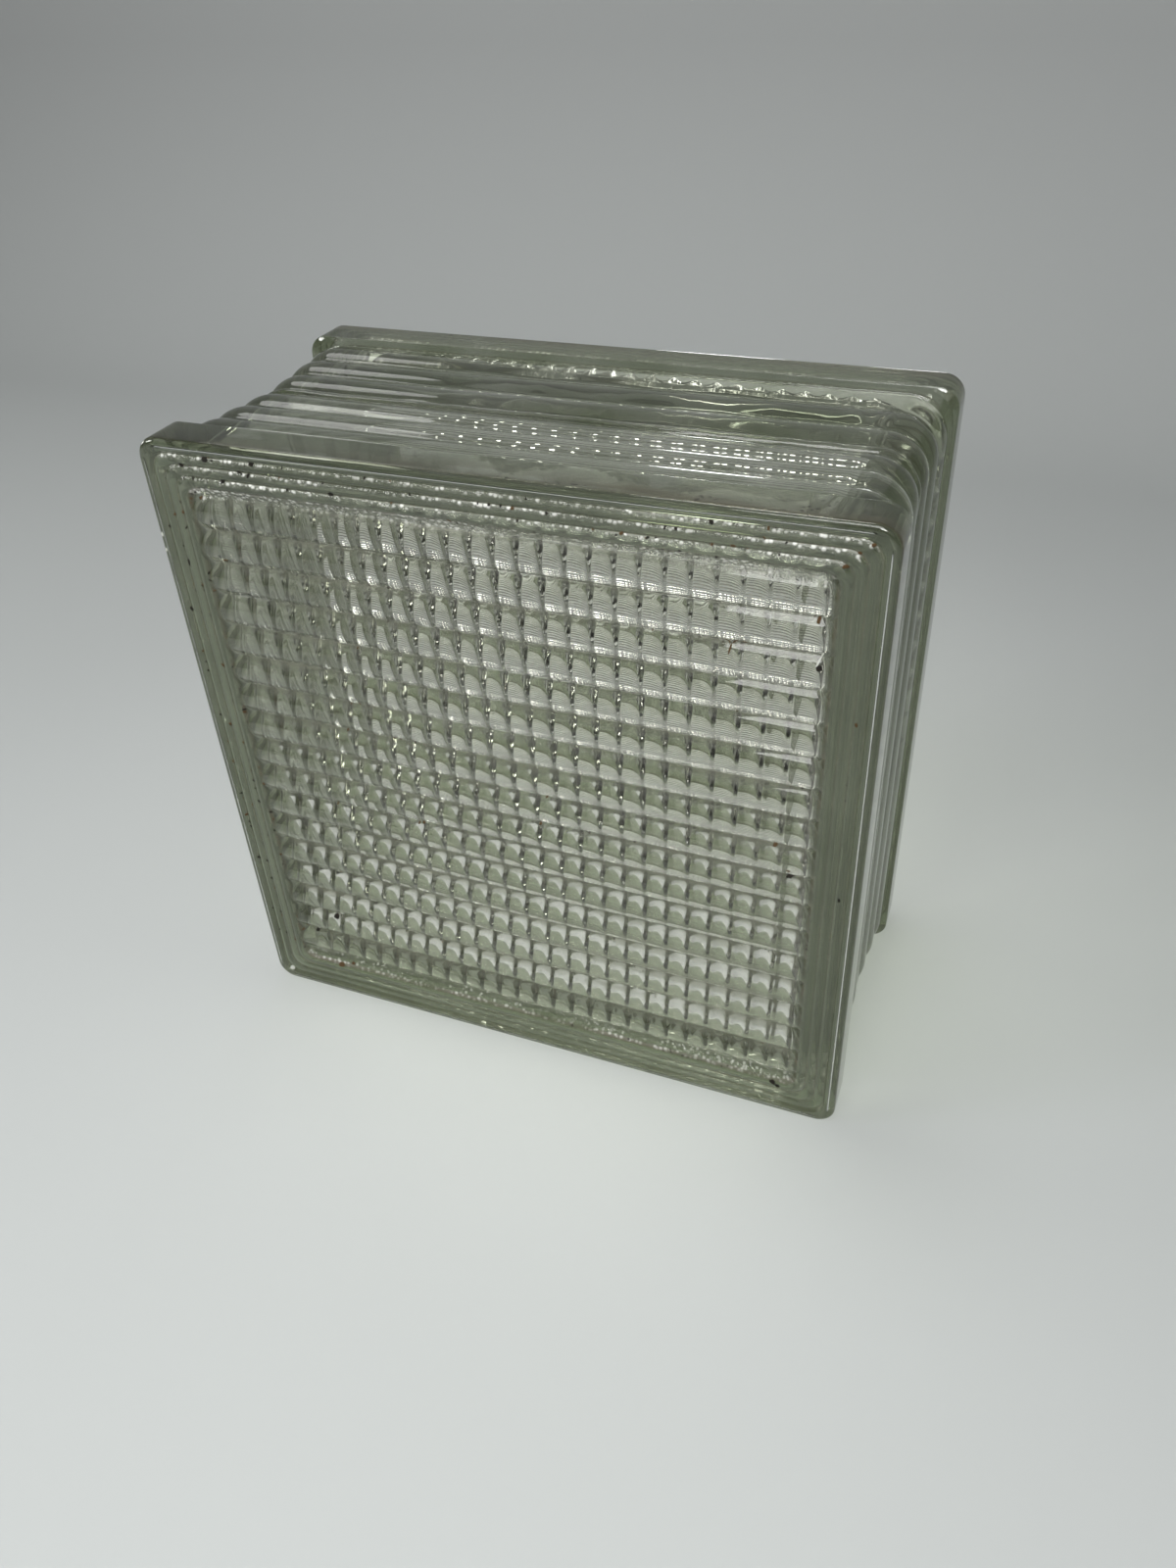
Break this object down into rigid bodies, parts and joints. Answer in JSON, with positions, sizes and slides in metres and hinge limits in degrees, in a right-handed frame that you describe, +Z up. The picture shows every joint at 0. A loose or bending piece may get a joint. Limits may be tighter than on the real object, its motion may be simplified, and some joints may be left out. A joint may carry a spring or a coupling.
{
  "type": "glass block",
  "caption": "Square hollow glass block of two fused pressed shells, cross-reeded panels in a beaded frame, ribbed keyed sides between flat lips",
  "frame": {"origin": "middle of the footprint, on the level floor that the block stands on", "axes": "+Z up, the two faces look along -Y and +Y, so Y is the thickness through the wall, X is the width along the wall"},
  "size_m": [0.1968, 0.0984, 0.1969],
  "materials": {
    "pressed_glass": "fire-polished pressed glass, grey-green tint, slightly dusty"
  },
  "bodies": {
    "root": {"front_shell": "pressed_glass", "back_shell": "pressed_glass"}
  },
  "joints": []
}
